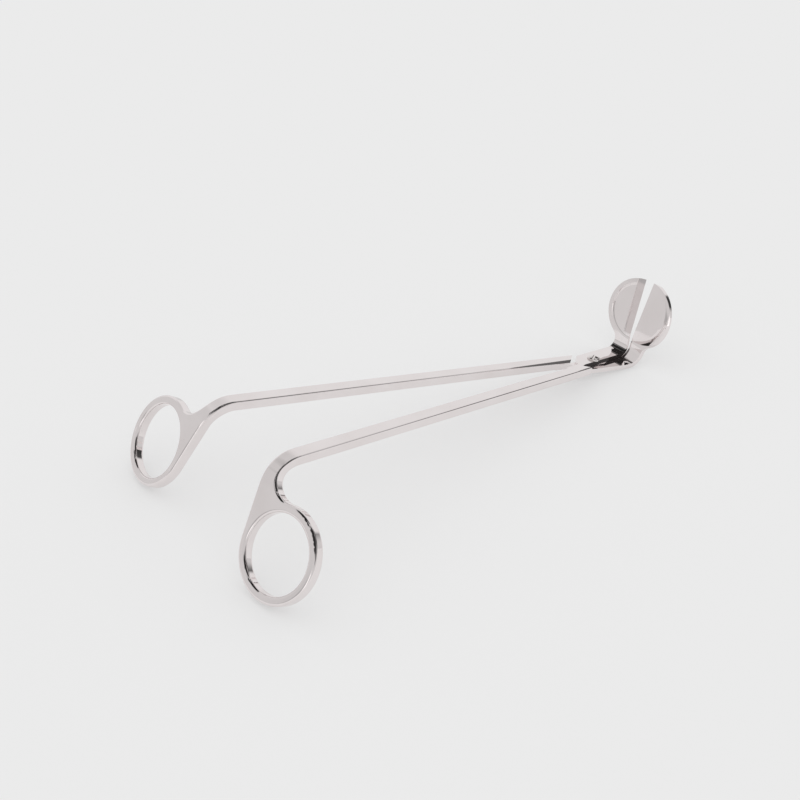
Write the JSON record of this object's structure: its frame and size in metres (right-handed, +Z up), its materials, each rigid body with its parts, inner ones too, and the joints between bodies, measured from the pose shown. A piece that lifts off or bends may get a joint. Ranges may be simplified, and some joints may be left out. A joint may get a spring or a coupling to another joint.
{
  "type": "wick trimmer",
  "caption": "Scissor-action wick trimmer: two long arms crossing at a screw, finger rings bent down at one end, and a turned-up round head split into two dished blades.",
  "frame": {"origin": "on the plane the tool lies on, under the middle of its bounding box, with the tool part open", "axes": "+X from the finger rings to the blades, +Y towards the lower lever's ring, +Z up"},
  "size_m": [0.1894, 0.0948, 0.0317],
  "materials": {
    "polished_steel": "mirror-polished plated steel, slightly warm",
    "screw_steel": "polished screw head with turned face"
  },
  "bodies": {
    "lower": {"lower_lever": "polished_steel", "pivot_screw": "screw_steel"},
    "upper": {"upper_lever": "polished_steel"}
  },
  "joints": [
    {"name": "pivot", "type": "hinge", "parent": "lower", "child": "upper", "pos_m": [0.06847, 0, 0.00571], "axis": [0.1842, 0, 0.9829], "range_deg": [-11.64, 23.36]}
  ]
}
